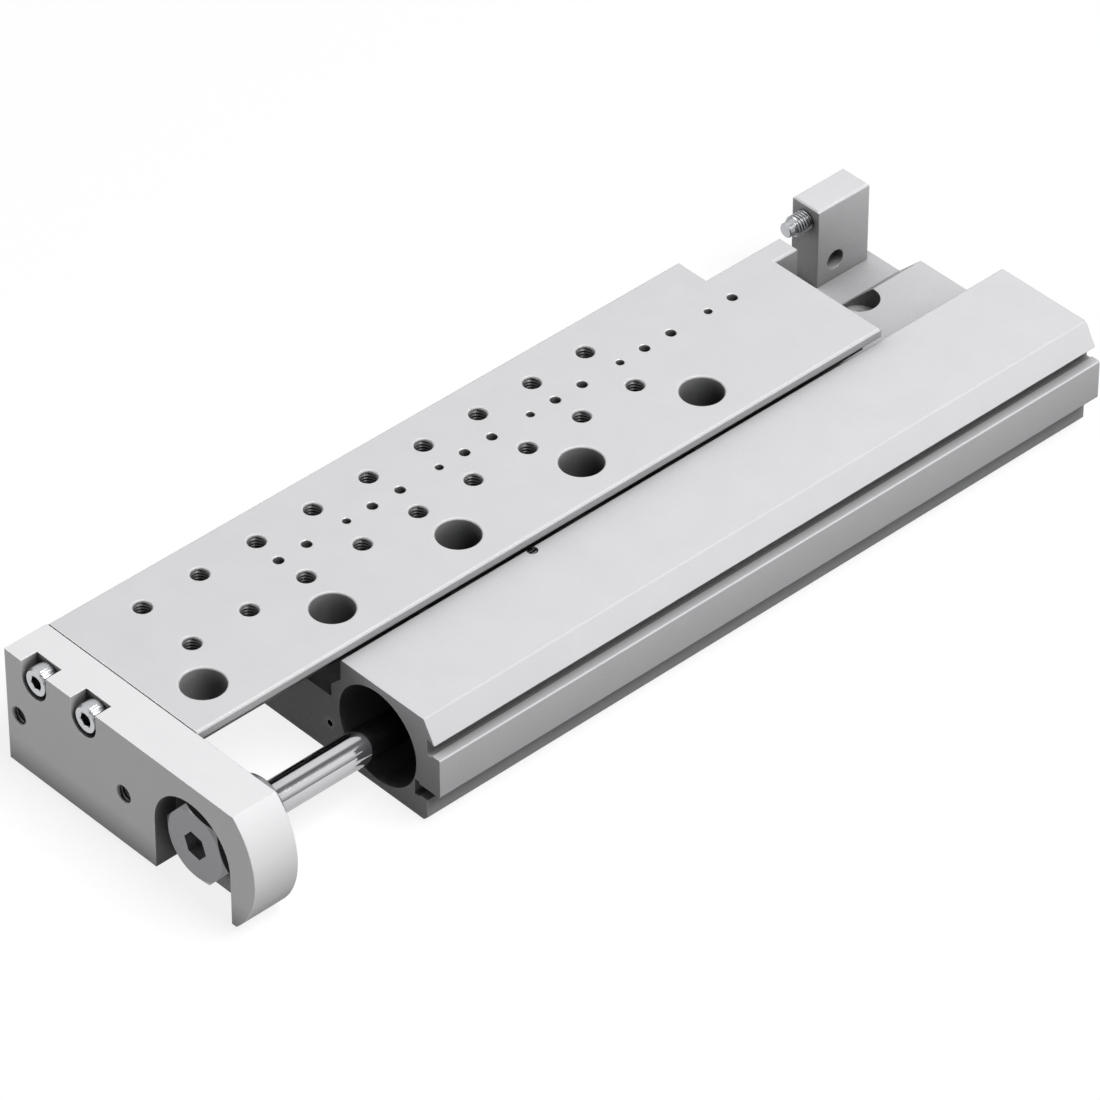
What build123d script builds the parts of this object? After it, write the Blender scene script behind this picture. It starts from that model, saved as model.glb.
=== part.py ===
from build123d import *
import os

# Miniature linear slide: a drilled slide plate runs on a ball-cage guide beside a pneumatic
# cylinder, and a yoke plate at the front ties the piston rod to the slide plate.
# Millimetres. X points the way the slide extends, Z up, Y from the guide to the cylinder.
# The origin is the centre of the housing's mounting face.

os.makedirs("parts", exist_ok=True)

# Housing section and length
body_length = 198.0
base_width = 75.0
total_height = 31.0
barrel_drop = 3.0
floor_drop = 12.5
shelf_drop = 6.0
guide_offset = 17.5
barrel_offset = 15.5
slope_inset = 1.0
barrel_wall = 2.3
shoulder_drop = 8.5
flange_reach = 4.0
crown_inset = 4.9
crown_drop = 5.5
corner_radius = 0.4
base_chamfer = 1.2

# Sensor slots along the cylinder's side
slot_opening = 3.1
slot_cavity = 4.2
slot_lip = 1.6
slot_neck = 2.4
slot_depth = 4.0
upper_slot_drop = 7.05
lower_slot_height = 7.55

# Slide plate
slide_inset = 27.0
slide_overhang = 1.5
slide_thickness = 9.0
lip_width = 5.5
lip_thickness = 2.2
lip_gap = 0.1
step_length = 16.0
step_gap = 0.5
ear_width = 5.7
ear_length = 6.8
edge_chamfer = 0.4

# Position shown and travel to each side of it
extension = 39.5
travel_in = 29.0
cylinder_allowance = 118.0
stop_gap = 0.2
rear_reserve = 10.0

# Holes in the slide plate
thread_count = 9
thread_pitch = 16.0
thread_spacing = 16.0
thread_from_front = 18.0
thread_core_d = 4.2
thread_chamfer = 0.25
access_count = 5
access_margin = 55.5
access_from_front = 11.2
access_from_guide = 19.5
access_d = 10.2
rail_hole_from_front = 49.2
rail_hole_margin = 65.5
rail_group_count = 5
rail_pair_gap = 8.0
rail_pin_gap = 19.4

# Guide
rail_width = 9.0
rail_height = 7.1
rail_seat_depth = 0.6
rail_end_margin = 3.0
ball_d = 3.0
ball_drop = 3.4
ball_count = 10
ball_pitch = 7.6
guide_gap = 1.2
raceway_width = 5.0
raceway_gap = 1.5
raceway_shortfall = 42.5
raceway_inset = 0.5
cage_length = 80.0
cage_ahead = 6.25
cage_sheet = 0.5
cage_under_rail = 0.3
cage_gap = 1.8

# Screws: shank, head diameter, head height, key size
m25 = dict(d=2.5, head_d=4.5, head_h=2.5, key=2.0)
m3 = dict(d=3.0, head_d=5.5, head_h=3.0, key=2.5)
m4 = dict(d=4.0, head_d=7.0, head_h=4.0, key=3.0)
m5 = dict(d=5.0, head_d=8.5, head_h=5.0, key=4.0)
rail_pin_d = 2.0
rail_pin_length = 8.0
rail_screw_length = 8.4
raceway_screw_count = 4
raceway_screw_margin = 29.5
raceway_screw_length = 10.0
yoke_screw_length = 20.0
head_recess = 0.4
screw_clearance = 0.25
thread_clearance = 0.03
tip_clearance = 0.8

# Yoke plate
yoke_thickness = 12.0
yoke_ground_gap = 0.8
yoke_end_radius = 21.0
yoke_end_reach = 0.3
yoke_chamfer = 0.3
yoke_screw_drop = 4.0
yoke_bore_d = 8.0
yoke_thread_offset = 3.7
yoke_thread_spacing = 34.0
yoke_thread_height = 14.6
pocket_depth = 6.0
pocket_radius = 12.0
rod_head_key = 17.0
rod_head_height = 5.2
rod_head_chamfer = 1.3
rod_head_rise = 0.75
rod_head_turn = 20.0
rod_socket_key = 6.0
rod_socket_depth = 3.0
rod_screw_d = 5.0
rod_screw_depth = 12.0

# Cylinder
bore_d = 20.0
recess_step = 4.4
recess_depth = 24.0
rod_d = 8.0
collar_step = 7.0
collar_length = 8.0
cap_flange = 4.0
front_cap_length = 24.0
rear_cap_length = 25.8
circlip_thickness = 1.2
circlip_depth = 0.8
circlip_width = 2.2
circlip_gap_slope = 0.35
bush_length = 12.0
bush_wall = 1.0
wiper_step = 5.0
wiper_length = 3.4
o_ring_d = 1.7
o_ring_groove = 2.4
o_ring_place = 0.45
bumper_thickness = 3.0
bumper_width = 2.0
bumper_gap = 1.0
cushion_step = 8.0
cushion_length = 10.0
cushion_gap = 0.5
cushion_depth = 11.5
piston_length = 20.0
piston_land_gap = 0.1
piston_grip = 9.0
seal_width = 2.6
seal_inset = 2.5
seal_step = 3.6
magnet_width = 3.4
magnet_place = 6.8
magnet_step = 6.0
guide_ring_width = 1.8
guide_ring_place = 11.6
guide_ring_step = 2.0
piston_screw_depth = 10.0
sleeve_bore_d = 9.0
sleeve_bore_depth = 6.2
running_gap = 0.03

# Air ducts and plugs
duct_d = 3.0
duct_from_axis = 15.2
duct_z = 8.0
duct_plug_length = 5.0
port_core_d = 4.2
port_depth = 8.0
side_port_inset = 0.3
side_duct_length = 40.0
cushion_screw_d = 2.5
cushion_screw_length = 5.0
cushion_screw_from_front = 54.0
cushion_screw_inset = 1.0

# Mounting holes in the housing
mount_hole_d = 5.5
mount_head_d = 9.5
mount_head_depth = 5.6
rear_mount_from_end = 20.0
rear_mount_from_guide = 6.0
base_thread_margin = 48.0
base_thread_spacing = 34.0
base_thread_inset = 3.5
base_thread_floor = 2.0

# Rear stop
block_length = 16.0
block_width = 8.4
block_chamfer = 0.4
stop_reach = 6.4
stop_drop = 4.2
stop_screw_d = 5.0
stop_screw_length = 21.0
stop_key = 2.5
stop_key_depth = 3.0
stop_dog_d = 3.6
stop_dog_length = 1.5
cross_hole_d = 5.0
cross_hole_inset = 5.6
cross_hole_rise = 5.4
block_screw_inset = 3.8
block_screw_shift = 0.6
block_screw_length = 13.0
block_pin_d = 4.0
block_pin_length = 6.0
block_pin_top = 2.0

# Places that follow from the sizes
slide_width = base_width - slide_inset
slide_length = body_length + slide_overhang
raceway_length = body_length - raceway_shortfall
travel_out = body_length - cylinder_allowance - travel_in
barrel_height = total_height - barrel_drop
axis_height = barrel_height / 2
upper_slot_height = barrel_height - upper_slot_drop
recess_d = bore_d + recess_step
cushion_d = bore_d - cushion_step
collar_d = rod_d + collar_step
wiper_d = rod_d + wiper_step
bumper_outer_d = bore_d - 2 * bumper_gap
bumper_inner_d = bumper_outer_d - 2 * bumper_width
left_y = -base_width / 2
right_y = base_width / 2
front_x = body_length / 2
rear_x = -body_length / 2
guide_y = left_y + guide_offset
axis_y = right_y - barrel_offset
flange_y = right_y + flange_reach
slide_front_x = front_x + extension
slide_rear_x = slide_front_x - slide_length
slide_right_y = left_y + slide_width
slide_under_z = total_height - slide_thickness
floor_height = slide_under_z - floor_drop
shelf_height = slide_under_z - shelf_drop
ball_height = slide_under_z - ball_drop
raceway_top = slide_under_z - raceway_gap
cage_top = slide_under_z - cage_gap
step_x = slide_rear_x + step_length
step_y = left_y + block_width + step_gap
stop_tip_x = step_x - travel_in - stop_gap
block_front_x = stop_tip_x - stop_reach
block_centre_y = left_y + block_width / 2
block_screw_y = block_centre_y + block_screw_shift
stop_z = total_height - stop_drop
access_y = guide_y + access_from_guide
access_pitch = (slide_length - access_margin) / (access_count - 1)
rail_hole_pitch = (slide_length - rail_hole_margin) / rail_group_count
raceway_screw_pitch = (raceway_length - raceway_screw_margin) / (raceway_screw_count - 1)
duct_y = axis_y - duct_from_axis
side_port_y = right_y - side_port_inset
side_port_z = (upper_slot_height + lower_slot_height) / 2
rail_top_z = slide_under_z + rail_seat_depth
rail_bottom_z = rail_top_z - rail_height
ball_y = rail_width / 2 + guide_gap / 2
raceway_y = rail_width / 2 + guide_gap
raceway_front_x = front_x - raceway_inset
raceway_rear_x = raceway_front_x - raceway_length
cage_rear_x = raceway_rear_x + (raceway_length - cage_length) / 2 + cage_ahead
cap_shoulder_x = front_x - recess_depth
cap_face_x = cap_shoulder_x - front_cap_length
piston_front_x = cap_face_x - bumper_thickness - stop_gap - travel_out
piston_rear_x = piston_front_x - piston_length
rear_cap_face_x = piston_rear_x - travel_in - rear_reserve - bumper_thickness
rear_cap_end_x = rear_cap_face_x - rear_cap_length
yoke_front_x = slide_front_x + yoke_thickness
pocket_floor_x = yoke_front_x - pocket_depth


def block(x0, x1, y0, y1, z0, z1):
    """A box between two corners."""
    return Pos((x0 + x1) / 2, (y0 + y1) / 2, (z0 + z1) / 2) * Box(x1 - x0, y1 - y0, z1 - z0)


def rod_x(diameter, x0, x1, y=axis_y, z=axis_height):
    """A round bar along X."""
    bar = Cylinder(diameter / 2, x1 - x0, rotation=(0, 90, 0))
    return Pos((x0 + x1) / 2, y, z) * bar


def rod_y(diameter, y0, y1, x, z):
    """A round bar along Y."""
    bar = Cylinder(diameter / 2, y1 - y0, rotation=(90, 0, 0))
    return Pos(x, (y0 + y1) / 2, z) * bar


def rod_z(diameter, z0, z1, x, y):
    """A round bar along Z."""
    return Pos(x, y, (z0 + z1) / 2) * Cylinder(diameter / 2, z1 - z0)


def hexagon(key, depth):
    """A hexagonal prism standing on the origin, measured across its flats."""
    return extrude(RegularPolygon(key / 2, 6, major_radius=False), depth)


def cap_screw(size, length):
    """A socket head cap screw along Z with its head on top and its seat at the origin."""
    head = Pos(0, 0, size["head_h"] / 2) * Cylinder(size["head_d"] / 2, size["head_h"])
    head = chamfer(head.edges().filter_by(GeomType.CIRCLE).sort_by(Axis.Z)[-1], size["head_h"] * 0.1)
    key_depth = size["head_h"] * 0.55
    head -= Pos(0, 0, size["head_h"] - key_depth) * hexagon(size["key"], key_depth)
    return head + Pos(0, 0, -length / 2) * Cylinder(size["d"] / 2, length)


def ring(inner_d, outer_d, x0, x1):
    """A plain ring on the cylinder's axis."""
    return rod_x(outer_d, x0, x1) - rod_x(inner_d, x0, x1)


def tapped(x, y, top, depth, core_d=thread_core_d):
    """The core of a threaded hole from a top face down, with its countersink."""
    sink = core_d / 2 + thread_chamfer
    cone = Pos(x, y, top - thread_chamfer / 2) * Cone(core_d / 2, sink, thread_chamfer)
    return rod_z(core_d, top - depth, top, x, y) + cone


def along_x(start, pitch, count):
    """Places counted backwards from a start."""
    return [start - pitch * n for n in range(count)]


thread_xs = along_x(slide_front_x - thread_from_front, thread_pitch, thread_count)
access_xs = along_x(slide_front_x - access_from_front, access_pitch, access_count)
rail_hole_x = slide_front_x - rail_hole_from_front
rail_screw_xs = along_x(rail_hole_x, rail_hole_pitch, rail_group_count + 1)
rail_screw_xs += along_x(rail_hole_x - rail_pair_gap, rail_hole_pitch, rail_group_count)
rail_pin_xs = along_x(rail_hole_x - rail_pin_gap, rail_hole_pitch, rail_group_count)
raceway_middle_x = (raceway_front_x + raceway_rear_x) / 2
raceway_span = raceway_screw_pitch * (raceway_screw_count - 1)
raceway_screw_xs = along_x(raceway_middle_x + raceway_span / 2, raceway_screw_pitch, raceway_screw_count)
raceway_screw_ys = [guide_y - raceway_y - raceway_width / 2, guide_y + raceway_y + raceway_width / 2]
ball_xs = along_x(cage_rear_x + (cage_length + ball_pitch * (ball_count - 1)) / 2, ball_pitch, ball_count)
mount_xs = [access_xs[1] - travel_in, access_xs[3] - travel_in]
block_screw_x = block_front_x - block_length + block_screw_inset
block_pin_x = block_front_x - cross_hole_inset


def housing():
    """Extruded aluminium body: guide floor, shelf and cylinder barrel in one section."""
    slope_y = guide_y - slope_inset
    wall_y = axis_y - recess_d / 2 - barrel_wall
    crown_y = slide_right_y + lip_gap
    shoulder_z = barrel_height - shoulder_drop
    upper_edge = upper_slot_height + slot_opening / 2
    lower_edge = lower_slot_height + slot_opening / 2
    outline = FilletPolyline(
        (left_y, 0),
        (left_y, floor_height),
        (slope_y, floor_height),
        (slope_y + shelf_height - floor_height, shelf_height),
        (wall_y, shelf_height),
        (wall_y, shoulder_z),
        (crown_y, shoulder_z + crown_y - wall_y),
        (crown_y, barrel_height),
        (flange_y - crown_inset, barrel_height),
        (flange_y - slot_lip, barrel_height - crown_drop),
        (flange_y - slot_lip, upper_edge - slot_opening),
        (flange_y, upper_edge - slot_opening),
        (flange_y, lower_edge),
        (right_y, lower_edge),
        (right_y, base_chamfer),
        (right_y - base_chamfer, 0),
        radius=corner_radius,
        close=True,
    )
    body = extrude(Plane.YZ.offset(rear_x) * make_face(outline), body_length)

    for height, mouth_y in ((upper_slot_height, flange_y), (lower_slot_height, right_y)):
        half = slot_opening / 2
        body -= block(rear_x, front_x, mouth_y - slot_depth, flange_y, height - half, height + half)
        cavity_y = mouth_y - slot_neck
        half = slot_cavity / 2
        body -= block(rear_x, front_x, mouth_y - slot_depth, cavity_y, height - half, height + half)

    seat_y = guide_y + raceway_y + raceway_width + running_gap
    body -= block(raceway_rear_x - raceway_inset, front_x, slope_y, seat_y, floor_height, shelf_height)

    body -= rod_x(bore_d, rear_x, front_x)
    body -= rod_x(recess_d, cap_shoulder_x, front_x)
    groove_x = cap_shoulder_x + cap_flange
    body -= rod_x(recess_d + 2 * circlip_depth, groove_x, groove_x + circlip_thickness)
    body -= rod_x(bore_d + 2 * circlip_depth, rear_cap_end_x - circlip_thickness, rear_cap_end_x)

    for x, y, top in [(x, access_y, shelf_height) for x in mount_xs] + [rear_mount()]:
        body -= rod_z(mount_hole_d, 0, top, x, y)
        body -= rod_z(mount_head_d, top - mount_head_depth, shelf_height, x, y)
    for x, y in base_threads():
        body -= rod_z(thread_core_d, 0, floor_height - base_thread_floor, x, y)

    for x in raceway_screw_xs:
        for y in raceway_screw_ys:
            body -= rod_z(m3["d"] + 2 * screw_clearance, 0, floor_height, x, y)
            body -= rod_z(m3["head_d"] + 2 * screw_clearance, 0, raceway_seat_z(), x, y)
    body -= rod_z(m4["d"] + 2 * screw_clearance, 0, floor_height, block_screw_x, block_screw_y)
    body -= rod_z(m4["head_d"] + 2 * screw_clearance, 0, block_seat_z(), block_screw_x, block_screw_y)
    pin_bottom = floor_height + block_pin_top - block_pin_length
    body -= rod_z(block_pin_d, pin_bottom, floor_height, block_pin_x, block_centre_y)

    body -= rod_x(duct_d, rear_x, front_x, duct_y, duct_z)
    body -= rod_x(port_core_d, rear_x, rear_x + port_depth, duct_y, duct_z)
    body -= rod_x(duct_d, rear_x, rear_x + side_duct_length, side_port_y, side_port_z)
    body -= rod_x(port_core_d, rear_x, rear_x + port_depth, side_port_y, side_port_z)
    x, y, bottom = cushion_screw_place()
    body -= rod_z(cushion_screw_d + 2 * thread_clearance, bottom, barrel_height, x, y)
    return body


def rear_mount():
    """Place and top of the mounting hole at the shelf's edge behind the slide."""
    return (rear_x + rear_mount_from_end, guide_y + rear_mount_from_guide, shelf_height)


def base_threads():
    """Places of the four threaded holes in the mounting face."""
    near = left_y + base_thread_inset
    half = (body_length - base_thread_margin) / 2
    return [(x, y) for x in (-half, half) for y in (near, near + base_thread_spacing)]


def raceway_seat_z():
    """Height at which the raceway screws' heads bear."""
    return m3["head_h"] + head_recess


def block_seat_z():
    """Height at which the stop block's screw head bears."""
    return m4["head_h"] + head_recess


def cushion_screw_place():
    """Place and bottom of the cushioning screw beside the slide's edge."""
    y = slide_right_y + lip_gap + cushion_screw_inset
    return (front_x - cushion_screw_from_front, y, barrel_height - cushion_screw_length)


def ball_groove(side, x0, x1):
    """The round groove that one row of balls runs in."""
    return rod_x(ball_d + 2 * running_gap, x0, x1, guide_y + side * ball_y, ball_height)


def raceway(side):
    """A hardened strip beside the rail, grooved towards it."""
    inner = guide_y + side * raceway_y
    outer = inner + side * raceway_width
    strip = block(raceway_rear_x, raceway_front_x, min(inner, outer), max(inner, outer), floor_height, raceway_top)
    strip = chamfer(strip.edges().filter_by(Axis.X).group_by(Axis.Z)[-1], corner_radius)
    strip -= ball_groove(side, raceway_rear_x, raceway_front_x)
    depth = raceway_seat_z() + raceway_screw_length - floor_height + tip_clearance
    y = (inner + outer) / 2
    for x in raceway_screw_xs:
        strip -= rod_z(m3["d"] + 2 * thread_clearance, floor_height, floor_height + depth, x, y)
    return strip


def raceway_screws():
    """Cap screws from the mounting face up into both raceways."""
    screw = Rot(180, 0, 0) * cap_screw(m3, raceway_screw_length)
    return [Pos(x, y, raceway_seat_z()) * screw for x in raceway_screw_xs for y in raceway_screw_ys]


def guide_rail():
    """The slide's own rail, grooved on both sides and counterbored from below."""
    x0 = slide_rear_x + rail_end_margin
    x1 = slide_front_x - rail_end_margin
    half = rail_width / 2
    rail = block(x0, x1, guide_y - half, guide_y + half, rail_bottom_z, rail_top_z)
    rail = chamfer(rail.edges().filter_by(Axis.X).group_by(Axis.Z)[0], corner_radius)
    for side in (-1, 1):
        rail -= ball_groove(side, x0, x1)
    for x in rail_screw_xs:
        rail -= rod_z(m25["d"] + 2 * screw_clearance, rail_bottom_z, rail_top_z, x, guide_y)
        rail -= rod_z(m25["head_d"] + 2 * screw_clearance, rail_bottom_z, rail_seat_z(), x, guide_y)
    for x in rail_pin_xs:
        rail -= rod_z(rail_pin_d, rail_bottom_z, rail_top_z, x, guide_y)
    return rail


def rail_seat_z():
    """Height at which the rail screws' heads bear."""
    return rail_bottom_z + m25["head_h"] + head_recess / 2


def rail_screws():
    """Cap screws from below through the rail into the slide plate."""
    screw = Rot(180, 0, 0) * cap_screw(m25, rail_screw_length)
    return [Pos(x, guide_y, rail_seat_z()) * screw for x in rail_screw_xs]


def rail_pins():
    """Dowels that set the rail's line in the slide plate."""
    bottom = rail_bottom_z + head_recess
    return [rod_z(rail_pin_d, bottom, bottom + rail_pin_length, x, guide_y) for x in rail_pin_xs]


def guide_balls():
    """Two rows of balls, one in each pair of grooves."""
    ball = Sphere(ball_d / 2)
    return [Pos(x, guide_y + side * ball_y, ball_height) * ball for x in ball_xs for side in (-1, 1)]


def cage():
    """Sheet retainer folded round the rail's underside, with a window for each ball."""
    bottom = rail_bottom_z - cage_under_rail - cage_sheet
    outer = ball_y + cage_sheet / 2
    inner = ball_y - cage_sheet / 2
    x0, x1 = cage_rear_x, cage_rear_x + cage_length
    shell = block(x0, x1, guide_y - outer, guide_y + outer, bottom, cage_top)
    shell = fillet(shell.edges().filter_by(Axis.X).group_by(Axis.Z)[0], cage_sheet * 1.5)
    hollow = block(x0, x1, guide_y - inner, guide_y + inner, bottom + cage_sheet, cage_top)
    shell -= fillet(hollow.edges().filter_by(Axis.X).group_by(Axis.Z)[0], cage_sheet / 2)
    window = ball_d + 4 * running_gap
    for x in ball_xs:
        shell -= rod_y(window, guide_y - 2 * outer, guide_y + 2 * outer, x, ball_height)
    return shell


def slide_plate():
    """Drilled top plate: thin lip over the cylinder, step and ear at the rear."""
    outline = Polyline(
        (slide_front_x, left_y),
        (slide_front_x, slide_right_y),
        (slide_rear_x, slide_right_y),
        (slide_rear_x, step_y + ear_width),
        (slide_rear_x - ear_length, step_y + ear_width),
        (slide_rear_x - ear_length, step_y),
        (step_x, step_y),
        (step_x, left_y),
        close=True,
    )
    plate = extrude(Plane.XY.offset(slide_under_z) * make_face(outline), slide_thickness)
    rim = plate.faces().sort_by(Axis.Z)[-1].outer_wire().edges()
    plate = chamfer(rim.sort_by(Axis.X)[:-1], edge_chamfer)
    lip_y = slide_right_y - lip_width
    lip_z = total_height - lip_thickness
    plate -= block(slide_rear_x, slide_front_x, lip_y, slide_right_y, slide_under_z, lip_z)
    half = rail_width / 2 + running_gap
    seat_rear = slide_rear_x + rail_end_margin - stop_gap
    plate -= block(seat_rear, slide_front_x, guide_y - half, guide_y + half, slide_under_z, rail_top_z)
    for x in thread_xs:
        for side in (-1, 1):
            plate -= tapped(x, guide_y + side * thread_spacing / 2, total_height, slide_thickness)
    for x in access_xs:
        plate -= tapped(x, access_y, total_height, slide_thickness, access_d)
    for x in rail_screw_xs:
        plate -= rod_z(m25["d"] + 2 * thread_clearance, slide_under_z, total_height, x, guide_y)
    for x in rail_pin_xs:
        plate -= rod_z(rail_pin_d, slide_under_z, total_height, x, guide_y)
    depth = yoke_screw_length - (yoke_thickness - yoke_seat_depth()) + tip_clearance
    for y in yoke_screw_ys():
        shaft = m4["d"] + 2 * thread_clearance
        plate -= rod_x(shaft, slide_front_x - depth, slide_front_x, y, total_height - yoke_screw_drop)
    return plate


def yoke_screw_ys():
    """The yoke's screws lie in line with the two rows of threads."""
    return [guide_y - thread_spacing / 2, guide_y + thread_spacing / 2]


def yoke_seat_depth():
    """Depth of the open counterbores in the yoke's front face."""
    return m4["head_h"] + head_recess


def yoke_plate():
    """Front plate with a round end, open counterbores and a pocket for the rod's head."""
    middle = (yoke_ground_gap + total_height) / 2
    end_y = flange_y + yoke_end_reach
    half = (total_height - yoke_ground_gap) / 2
    corner_y = end_y - yoke_end_radius + (yoke_end_radius**2 - half**2) ** 0.5
    edges = Polyline((corner_y, total_height), (left_y, total_height), (left_y, yoke_ground_gap), (corner_y, yoke_ground_gap))
    edges += ThreePointArc((corner_y, yoke_ground_gap), (end_y, middle), (corner_y, total_height))
    plate = extrude(Plane.YZ.offset(slide_front_x) * make_face(edges), yoke_thickness)
    for rim in (plate.faces().sort_by(Axis.X)[-1], plate.faces().sort_by(Axis.X)[0]):
        plate = chamfer(rim.outer_wire().edges(), yoke_chamfer)

    pocket_bottom = yoke_ground_gap - yoke_chamfer
    plate -= rod_x(2 * pocket_radius, pocket_floor_x, yoke_front_x)
    plate -= block(
        pocket_floor_x, yoke_front_x, axis_y - pocket_radius, axis_y + pocket_radius, pocket_bottom, axis_height
    )
    plate -= rod_x(rod_screw_d + 2 * screw_clearance, slide_front_x, pocket_floor_x)

    height = total_height - yoke_screw_drop
    seat_x = yoke_front_x - yoke_seat_depth()
    for y in yoke_screw_ys():
        plate -= rod_x(m4["d"] + 2 * screw_clearance, slide_front_x, yoke_front_x, y, height)
        plate -= rod_x(yoke_bore_d, seat_x, yoke_front_x, y, height)
        wide = yoke_bore_d / 2
        plate -= block(seat_x, yoke_front_x, y - wide, y + wide, height, total_height)
    for n in (0, 1):
        y = left_y + yoke_thread_offset + n * yoke_thread_spacing
        plate -= rod_x(thread_core_d, slide_front_x, yoke_front_x, y, yoke_thread_height)
        sink = thread_core_d / 2 + thread_chamfer
        cone = Cone(thread_core_d / 2, sink, thread_chamfer, rotation=(0, 90, 0))
        plate -= Pos(yoke_front_x - thread_chamfer / 2, y, yoke_thread_height) * cone
    return plate


def yoke_screws():
    """Two cap screws that hold the yoke on the slide plate's front face."""
    screw = Rot(0, 90, 0) * cap_screw(m4, yoke_screw_length)
    place = yoke_front_x - yoke_seat_depth()
    return [Pos(place, y, total_height - yoke_screw_drop) * screw for y in yoke_screw_ys()]


def rod_end_screw():
    """Special screw: flat chamfered hexagon head, key socket, shank into the rod."""
    head = hexagon(rod_head_key, rod_head_height)
    blank = Pos(0, 0, rod_head_height / 2) * Cylinder(rod_head_key / 3**0.5, rod_head_height)
    rim = blank.edges().filter_by(GeomType.CIRCLE).sort_by(Axis.Z)[-1]
    head &= chamfer(rim, rod_head_rise, rod_head_chamfer, reference=blank.faces().filter_by(GeomType.CYLINDER)[0])
    head -= Pos(0, 0, rod_head_height - rod_socket_depth) * hexagon(rod_socket_key, rod_socket_depth)
    length = pocket_floor_x - slide_front_x + rod_screw_depth
    head += Pos(0, 0, -length / 2) * Cylinder(rod_screw_d / 2, length)
    return Pos(pocket_floor_x, axis_y, axis_height) * Rot(0, 90, 0) * Rot(0, 0, rod_head_turn) * head


def piston_rod():
    """Round rod, bored for the screws at both ends."""
    x0 = piston_front_x - piston_grip
    rod = rod_x(rod_d, x0, slide_front_x)
    bore = rod_screw_d + 2 * thread_clearance
    rod -= rod_x(bore, slide_front_x - rod_screw_depth - tip_clearance, slide_front_x)
    rod -= rod_x(m5["d"] + 2 * thread_clearance, x0, x0 + piston_screw_depth + tip_clearance)
    return rod


def rod_collar():
    """Turned collar on the rod behind the yoke."""
    collar = rod_x(collar_d, slide_front_x - collar_length, slide_front_x)
    collar = chamfer(collar.edges().filter_by(GeomType.CIRCLE).sort_by(Axis.X)[0], edge_chamfer)
    return collar - rod_x(rod_d + 2 * running_gap, slide_front_x - collar_length, slide_front_x)


def piston():
    """Piston with a cushioning sleeve on each side and grooves for its rings."""
    land_d = bore_d - 2 * piston_land_gap
    body = rod_x(land_d, piston_rear_x, piston_front_x)
    body += rod_x(cushion_d, piston_rear_x - cushion_length, piston_front_x + cushion_length)
    rod_seat_x = piston_front_x - piston_grip
    body -= rod_x(rod_d + 2 * running_gap, rod_seat_x, piston_front_x + cushion_length)
    body -= rod_x(m5["d"] + 2 * screw_clearance, piston_rear_x - cushion_length, rod_seat_x)
    sleeve_end_x = piston_rear_x - cushion_length
    body -= rod_x(sleeve_bore_d, sleeve_end_x, sleeve_end_x + sleeve_bore_depth)
    for place, width, inner_d in piston_grooves():
        body -= ring(inner_d, bore_d, piston_front_x - place - width, piston_front_x - place)
    return body


def piston_grooves():
    """Place behind the piston's front face, width and floor of each groove."""
    return [
        (seal_inset, seal_width, bore_d - seal_step),
        (piston_length - seal_inset - seal_width, seal_width, bore_d - seal_step),
        (magnet_place, magnet_width, bore_d - magnet_step),
        (guide_ring_place, guide_ring_width, bore_d - guide_ring_step),
    ]


def piston_ring(number, outer_d, gap=running_gap):
    """A ring that fills one of the piston's grooves."""
    place, width, inner_d = piston_grooves()[number]
    front = piston_front_x - place - gap
    return ring(inner_d + 2 * gap, outer_d, front - width + 2 * gap, front)


def piston_screw():
    """Cap screw that clamps the piston on the rod's rear end."""
    seat_x = piston_rear_x - cushion_length + sleeve_bore_depth
    length = piston_front_x - piston_grip + piston_screw_depth - seat_x
    return Pos(seat_x, axis_y, axis_height) * Rot(0, -90, 0) * cap_screw(m5, length)


def o_ring_x(face_x, length):
    """Middle of the O-ring groove on a cap."""
    return face_x + length * o_ring_place


def o_ring(x):
    """An O-ring in a cap's groove."""
    major = bore_d / 2 - running_gap - o_ring_d / 2
    return Pos(x, axis_y, axis_height) * Torus(major, o_ring_d / 2, rotation=(0, 90, 0))


def o_ring_cut(x):
    """The groove that an O-ring lies in."""
    floor_d = bore_d - 2 * o_ring_d - 4 * running_gap
    return ring(floor_d, bore_d, x - o_ring_groove / 2, x + o_ring_groove / 2)


def front_cap():
    """Rod guide at the bottom of the deep recess, with bush bore and wiper seat."""
    cap = rod_x(bore_d - 2 * running_gap, cap_face_x, cap_shoulder_x)
    cap += rod_x(recess_d - 2 * running_gap, cap_shoulder_x, cap_shoulder_x + cap_flange)
    cap -= rod_x(rod_d + 2 * piston_land_gap, cap_face_x, cap_shoulder_x + cap_flange)
    cap -= rod_x(cushion_d + 2 * cushion_gap, cap_face_x, cap_face_x + cushion_depth)
    cap -= rod_x(rod_d + 2 * bush_wall, cap_face_x + cushion_depth, cap_face_x + cushion_depth + bush_length)
    wiper_x = cap_shoulder_x + cap_flange - wiper_length
    cap -= rod_x(wiper_d, wiper_x, cap_shoulder_x + cap_flange)
    return cap - o_ring_cut(o_ring_x(cap_face_x, front_cap_length))


def rod_bush():
    """Bronze bush that the rod runs in."""
    x0 = cap_face_x + cushion_depth
    return ring(rod_d + 2 * running_gap, rod_d + 2 * bush_wall, x0, x0 + bush_length)


def rod_wiper():
    """Wiper seal round the rod, with its lip to the front."""
    x1 = cap_shoulder_x + cap_flange
    seal = ring(rod_d + 2 * running_gap, wiper_d, x1 - wiper_length, x1)
    lip = Pos(x1, axis_y, axis_height) * Cone(wiper_d / 2, rod_d / 2 + bush_wall, wiper_length / 2, rotation=(0, 90, 0))
    return seal - (rod_x(wiper_d, x1 - wiper_length / 4, x1) - lip)


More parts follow.
